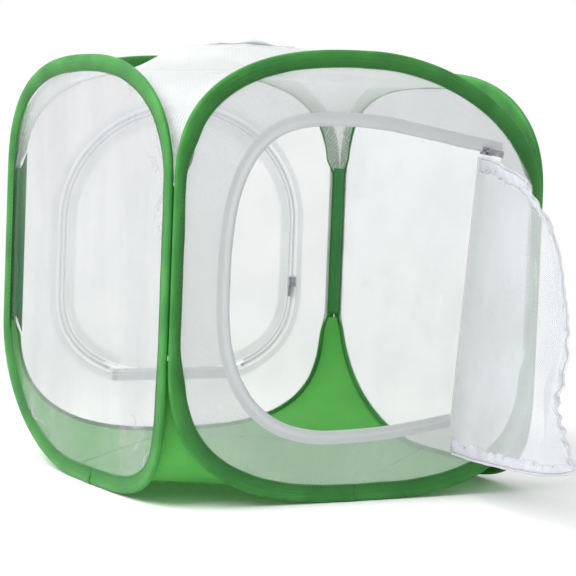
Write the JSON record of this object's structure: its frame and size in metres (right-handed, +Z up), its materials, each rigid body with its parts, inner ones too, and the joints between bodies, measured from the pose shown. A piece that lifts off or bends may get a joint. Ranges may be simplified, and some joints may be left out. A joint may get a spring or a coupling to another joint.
{
  "type": "insect cage",
  "caption": "pop-up mesh insect cage with green taped wire loops, a clear film side window, a large zip door hanging open on the front and a zip door closed on the back",
  "frame": {"origin": "the middle of the cage's floor, on its underside, at the level that the cage stands on", "axes": "+X to the right seen from the front, +Y from the front to the back, +Z up; the open door is on the -Y side and the film window on the -X side"},
  "size_m": [0.2962, 0.4844, 0.3159],
  "materials": {
    "green_tape": "woven binding tape",
    "green_cloth": "coated cloth",
    "white_mesh": "fine knitted mesh",
    "clear_film": "clear soft film",
    "white_tape": "woven zip tape and webbing",
    "nylon_coil": "nylon coil",
    "spring_steel": "bright spring wire",
    "slider_metal": "dull plated slider"
  },
  "bodies": {
    "cage": {"binding_front": "green_tape", "binding_back": "green_tape", "binding_left": "green_tape", "binding_right": "green_tape", "spring_wire_front": "spring_steel", "spring_wire_back": "spring_steel", "spring_wire_left": "spring_steel", "spring_wire_right": "spring_steel", "wire_ferrule_front": "spring_steel", "wire_ferrule_back": "spring_steel", "wire_ferrule_left": "spring_steel", "wire_ferrule_right": "spring_steel", "left_window_film": "clear_film", "right_mesh_panel": "white_mesh", "front_mesh_panel": "white_mesh", "back_mesh_panel": "white_mesh", "top_mesh_panel": "white_mesh", "floor_panel": "green_cloth", "corner_strip_front_left": "green_tape", "corner_strip_front_right": "green_tape", "corner_strip_back_left": "green_tape", "corner_strip_back_right": "green_tape", "top_strap": "white_tape", "door_panel_zip_tape": "white_tape", "door_panel_zip_coil": "nylon_coil", "door_zip_top_stop": "nylon_coil", "door_zip_bottom_stop": "nylon_coil", "door_hinge_tape": "white_tape", "back_panel_zip_tape": "white_tape", "back_panel_zip_coil": "nylon_coil", "back_zip_top_stop": "nylon_coil", "back_zip_bottom_stop": "nylon_coil", "back_hinge_tape": "white_tape"},
    "door": {"door_leaf": "white_mesh", "door_leaf_zip_tape": "white_tape", "door_leaf_zip_coil": "nylon_coil"},
    "back_door": {"back_leaf": "white_mesh", "back_leaf_zip_tape": "white_tape", "back_leaf_zip_coil": "nylon_coil"},
    "door_slider": {"door_zip_slider": "slider_metal"},
    "door_pull": {"door_zip_pull": "slider_metal"},
    "back_slider": {"back_zip_slider": "slider_metal"},
    "back_pull": {"back_zip_pull": "slider_metal"}
  },
  "joints": [
    {"name": "door_hinge", "type": "hinge", "parent": "cage", "child": "door", "pos_m": [0.0745, -0.1454, 0.0558], "axis": [0.0748, 0, 0.9972], "range_deg": [-77, 80]},
    {"name": "door_zip_slide", "type": "slide", "parent": "cage", "child": "door_slider", "axis": [-0.9872, 0, 0.1596], "range_m": [0, 0.058]},
    {"name": "door_pull_hinge", "type": "hinge", "parent": "door_slider", "child": "door_pull", "pos_m": [0.09446, -0.146, 0.24032], "axis": [-0.1596, 0, -0.9872], "range_deg": [0, 150]},
    {"name": "back_door_hinge", "type": "hinge", "parent": "cage", "child": "back_door", "pos_m": [0.0025, 0.14415, 0.058], "axis": [-1, 0, 0], "range_deg": [0, 104]},
    {"name": "back_zip_slide", "type": "slide", "parent": "cage", "child": "back_slider", "axis": [0, 0, 1], "range_m": [0, 0.04]},
    {"name": "back_pull_hinge", "type": "hinge", "parent": "back_slider", "child": "back_pull", "pos_m": [0.1053, 0.146, 0.127], "axis": [1, 0, 0], "range_deg": [0, 150]}
  ]
}
